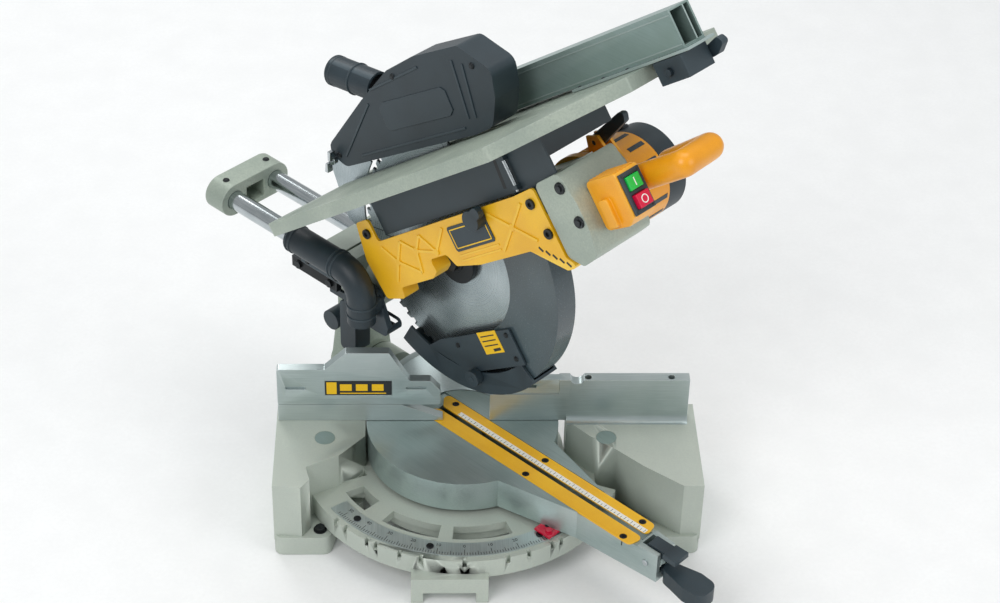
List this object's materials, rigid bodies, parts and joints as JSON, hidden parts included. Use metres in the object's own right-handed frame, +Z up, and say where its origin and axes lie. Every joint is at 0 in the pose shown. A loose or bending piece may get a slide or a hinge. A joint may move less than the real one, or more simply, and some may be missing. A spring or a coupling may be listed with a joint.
{
  "type": "sliding mitre saw",
  "caption": "Sliding mitre saw with upper saw table: turntable base with fences, tilting rail arm, hinged motor head, guarded disc blade, rip fence and dust ducts.",
  "frame": {"origin": "on the bench, under the turntable's axis, in the plane of the base's feet", "axes": "+X along the fence to the user's right, +Y to the back, +Z up; the fence's front face is at Y=0"},
  "size_m": [0.6009, 0.5994, 0.7436],
  "materials": {
    "cast_aluminium": "satin",
    "machined_aluminium": "brushed",
    "black_plastic": "matte",
    "yellow_plastic": "satin",
    "orange_plastic": "satin",
    "bright_steel": "polished",
    "black_steel": "satin",
    "blade_steel": "brushed",
    "guard_plastic": "satin",
    "bronze": "satin",
    "rubber": "matte",
    "red_plastic": "gloss",
    "green_plastic": "gloss",
    "fence_aluminium": "anodised"
  },
  "bodies": {
    "base": {"base_casting": "cast_aluminium", "mitre_scale": "bright_steel", "base_screws": "black_steel", "fixed_fence_left": "machined_aluminium", "fixed_fence_right": "machined_aluminium", "turntable_bolt": "bright_steel"},
    "sliding_fence": {"sliding_fence": "machined_aluminium"},
    "fence_clamp": {"fence_clamp_knob": "black_plastic"},
    "turntable": {"turntable": "machined_aluminium", "kerf_plates": "yellow_plastic", "kerf_screws": "black_steel", "mitre_pointer": "red_plastic", "lever_pin": "bright_steel", "bevel_trunnion": "cast_aluminium"},
    "mitre_latch": {"mitre_latch": "black_plastic"},
    "mitre_lever": {"mitre_lock_lever": "black_plastic"},
    "bevel_arm": {"bevel_arm": "cast_aluminium", "bevel_pivot_shaft": "bright_steel", "linear_bearings": "bronze", "bearing_side_bar": "black_steel", "dust_chute": "black_plastic", "dust_duct": "black_plastic"},
    "bevel_clamp": {"bevel_clamp_knob": "black_plastic"},
    "carriage": {"slide_rails": "bright_steel", "rail_end_cap": "cast_aluminium", "carriage": "cast_aluminium", "head_pivot_pin": "bright_steel", "lift_spring": "black_steel"},
    "head": {"head_casting": "cast_aluminium", "side_cover": "yellow_plastic", "cover_screws": "black_steel", "motor_housing": "orange_plastic", "motor_end_cap": "black_plastic", "cord_gland": "rubber", "drive_belt": "rubber", "spindle_bearings": "bright_steel", "switch_box": "orange_plastic", "switch_plate": "black_plastic", "main_handle": "orange_plastic", "riving_knife": "blade_steel"},
    "blade": {"spindle": "bright_steel", "spindle_pulley": "bright_steel", "blade_flanges": "black_steel", "arbor_bolt": "black_steel", "saw_blade": "blade_steel"},
    "motor": {"motor_rotor": "bright_steel"},
    "lower_guard": {"lower_guard": "guard_plastic"},
    "rear_guard": {"rear_guard": "black_plastic"},
    "guard_roller": {"guard_roller": "black_plastic"},
    "start_button": {"start_button": "green_plastic"},
    "stop_button": {"stop_button": "red_plastic"},
    "release_lever": {"release_lever": "black_plastic"},
    "height_knob": {"table_height_knob": "black_plastic"},
    "upper_table": {"upper_table": "cast_aluminium", "table_skirt": "black_plastic"},
    "rip_fence": {"rip_fence": "fence_aluminium", "rip_clamp": "black_plastic"},
    "rip_lever": {"rip_clamp_lever": "black_plastic"},
    "upper_guard": {"upper_guard": "black_plastic"},
    "wing_nut": {"wing_nut": "bright_steel"}
  },
  "joints": [
    {"name": "fence_slide", "type": "slide", "parent": "base", "child": "sliding_fence", "axis": [-1, 0, 0], "range_m": [0, 0.06]},
    {"name": "fence_clamp_turn", "type": "hinge", "parent": "base", "child": "fence_clamp", "pos_m": [-0.206, 0.03, 0.113], "axis": [0, 1, 0], "range_deg": [0, 90]},
    {"name": "mitre_turn", "type": "hinge", "parent": "base", "child": "turntable", "pos_m": [0, 0, 0.06], "axis": [0, 0, 1], "range_deg": [-95, 5]},
    {"name": "mitre_latch_lift", "type": "hinge", "parent": "turntable", "child": "mitre_latch", "pos_m": [0.21637, -0.21637, 0.084], "axis": [-0.7071, -0.7071, 0], "range_deg": [0, 8], "stiffness_Nm_per_rad": 0.6, "springref_deg": -17.19},
    {"name": "mitre_lever_turn", "type": "hinge", "parent": "turntable", "child": "mitre_lever", "pos_m": [0.24042, -0.24042, 0.072], "axis": [0.7071, -0.7071, 0], "range_deg": [0, 90]},
    {"name": "bevel_tilt", "type": "hinge", "parent": "turntable", "child": "bevel_arm", "pos_m": [-0.09192, 0.09192, 0.104], "axis": [0.7071, -0.7071, 0], "range_deg": [0, 12]},
    {"name": "bevel_clamp_turn", "type": "hinge", "parent": "bevel_arm", "child": "bevel_clamp", "pos_m": [-0.15132, 0.09475, 0.19], "axis": [-0.7071, -0.7071, 0], "range_deg": [0, 90]},
    {"name": "rail_slide", "type": "slide", "parent": "bevel_arm", "child": "carriage", "axis": [0.7071, -0.7071, 0], "range_m": [0, 0.15]},
    {"name": "head_tilt", "type": "hinge", "parent": "carriage", "child": "head", "pos_m": [-0.09405, 0.09405, 0.229], "axis": [0.7071, 0.7071, 0], "range_deg": [0, 38], "stiffness_Nm_per_rad": 22, "springref_deg": -68.75},
    {"name": "blade_spin", "type": "hinge", "parent": "head", "child": "blade", "pos_m": [-0.00566, 0.00566, 0.343], "axis": [0.7071, 0.7071, 0], "continuous": true},
    {"name": "motor_spin", "type": "hinge", "parent": "head", "child": "motor", "pos_m": [0.16051, -0.01909, 0.45608], "axis": [0.7071, 0.7071, 0], "continuous": true},
    {"name": "lower_guard_turn", "type": "hinge", "parent": "head", "child": "lower_guard", "pos_m": [-0.00566, 0.00566, 0.343], "axis": [-0.7071, -0.7071, 0], "range_deg": [0, 26.01]},
    {"name": "rear_guard_turn", "type": "hinge", "parent": "head", "child": "rear_guard", "pos_m": [-0.00566, 0.00566, 0.343], "axis": [-0.7071, -0.7071, 0], "range_deg": [0, 104.01]},
    {"name": "guard_roller_spin", "type": "hinge", "parent": "rear_guard", "child": "guard_roller", "pos_m": [0.01224, -0.04335, 0.20611], "axis": [0.7071, 0.7071, 0], "continuous": true},
    {"name": "start_press", "type": "slide", "parent": "head", "child": "start_button", "axis": [-0.5572, 0.5572, -0.6157], "range_m": [0, 0.002], "stiffness_N_per_m": 1500},
    {"name": "stop_press", "type": "slide", "parent": "head", "child": "stop_button", "axis": [-0.5572, 0.5572, -0.6157], "range_m": [0, 0.002], "stiffness_N_per_m": 1500},
    {"name": "release_lever_lift", "type": "hinge", "parent": "head", "child": "release_lever", "pos_m": [0.14349, -0.01904, 0.52026], "axis": [-0.7071, -0.7071, 0], "range_deg": [0, 14], "stiffness_Nm_per_rad": 1.5, "springref_deg": -17.19},
    {"name": "height_knob_turn", "type": "hinge", "parent": "head", "child": "height_knob", "pos_m": [0.00726, -0.1006, 0.47229], "axis": [-0.7071, -0.7071, 0], "range_deg": [0, 90]},
    {"name": "table_height", "type": "slide", "parent": "head", "child": "upper_table", "axis": [-0.4353, 0.4353, 0.788], "range_m": [-0.012, 0]},
    {"name": "rip_fence_slide", "type": "slide", "parent": "upper_table", "child": "rip_fence", "axis": [0.7071, 0.7071, 0], "range_m": [-0.02, 0.06]},
    {"name": "rip_lever_turn", "type": "hinge", "parent": "rip_fence", "child": "rip_lever", "pos_m": [0.23167, -0.10439, 0.67831], "axis": [-0.7071, -0.7071, 0], "range_deg": [0, 60]},
    {"name": "upper_guard_lift", "type": "hinge", "parent": "head", "child": "upper_guard", "pos_m": [-0.13772, 0.13772, 0.40013], "axis": [-0.7071, -0.7071, 0], "range_deg": [0, 25]},
    {"name": "wing_nut_turn", "type": "hinge", "parent": "upper_guard", "child": "wing_nut", "pos_m": [-0.1554, 0.12004, 0.40013], "axis": [-0.7071, -0.7071, 0], "range_deg": [0, 180]}
  ],
  "couplings": [
    {"joint": "lower_guard_turn", "follows": "head_tilt", "ratio": 0.68421},
    {"joint": "rear_guard_turn", "follows": "head_tilt", "ratio": 2.7368},
    {"joint": "motor_spin", "follows": "blade_spin", "ratio": 1.8823}
  ]
}
